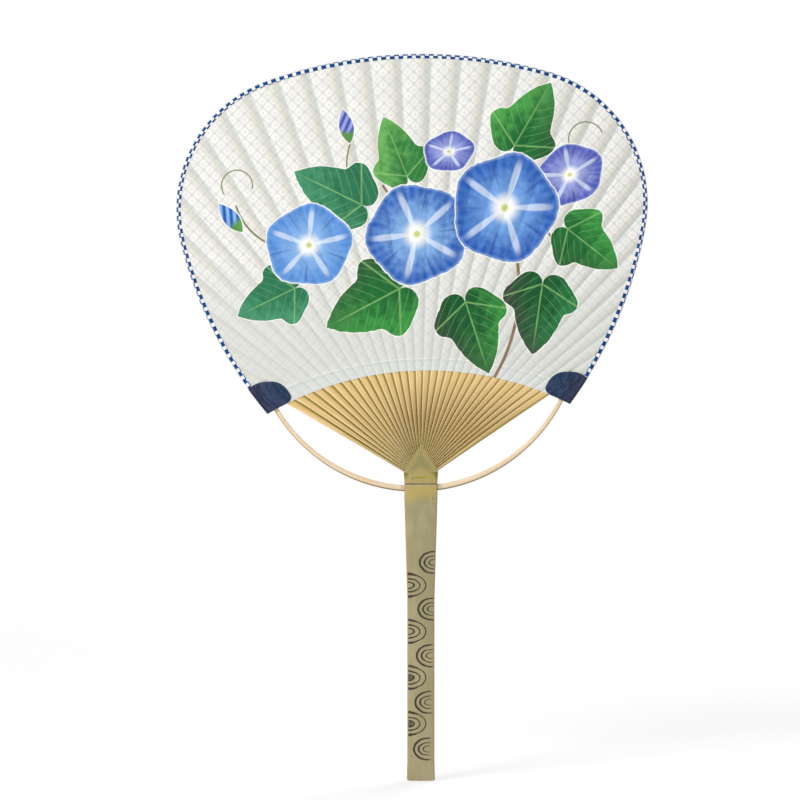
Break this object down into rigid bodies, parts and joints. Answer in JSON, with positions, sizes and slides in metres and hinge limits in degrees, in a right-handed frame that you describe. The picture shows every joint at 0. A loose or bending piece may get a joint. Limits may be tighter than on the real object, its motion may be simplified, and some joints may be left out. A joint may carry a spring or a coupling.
{
  "type": "hand fan",
  "caption": "Flat hand fan: a bamboo stick split into ribs, spread by a bent bow and covered with paper on both faces, with a bound rim.",
  "frame": {"origin": "centre of the handle's butt end", "axes": "+Z along the handle from its butt end to the head, +X across the fan, and the decorated face looks along -Y"},
  "size_m": [0.2434, 0.0056, 0.3752],
  "materials": {
    "bamboo_skin": "satin",
    "rib_bamboo": "satin",
    "bow_bamboo": "satin",
    "thread": "matte",
    "front_paper": "matte",
    "back_paper": "matte",
    "binding_paper": "matte",
    "ear_paper": "matte"
  },
  "bodies": {
    "root": {"handle": "bamboo_skin", "bow": "bow_bamboo", "weaving_thread": "thread", "left_tie": "thread", "right_tie": "thread", "front_paper": "front_paper", "back_paper": "back_paper", "edge_binding": "binding_paper", "left_ear": "ear_paper", "right_ear": "ear_paper", "rib_01": "rib_bamboo", "rib_02": "rib_bamboo", "rib_03": "rib_bamboo", "rib_04": "rib_bamboo", "rib_05": "rib_bamboo", "rib_06": "rib_bamboo", "rib_07": "rib_bamboo", "rib_08": "rib_bamboo", "rib_09": "rib_bamboo", "rib_10": "rib_bamboo", "rib_11": "rib_bamboo", "rib_12": "rib_bamboo", "rib_13": "rib_bamboo", "rib_14": "rib_bamboo", "rib_15": "rib_bamboo", "rib_16": "rib_bamboo", "rib_17": "rib_bamboo", "rib_18": "rib_bamboo", "rib_19": "rib_bamboo", "rib_20": "rib_bamboo", "rib_21": "rib_bamboo", "rib_22": "rib_bamboo", "rib_23": "rib_bamboo", "rib_24": "rib_bamboo", "rib_25": "rib_bamboo", "rib_26": "rib_bamboo", "rib_27": "rib_bamboo", "rib_28": "rib_bamboo", "rib_29": "rib_bamboo", "rib_30": "rib_bamboo", "rib_31": "rib_bamboo", "rib_32": "rib_bamboo"}
  },
  "joints": []
}
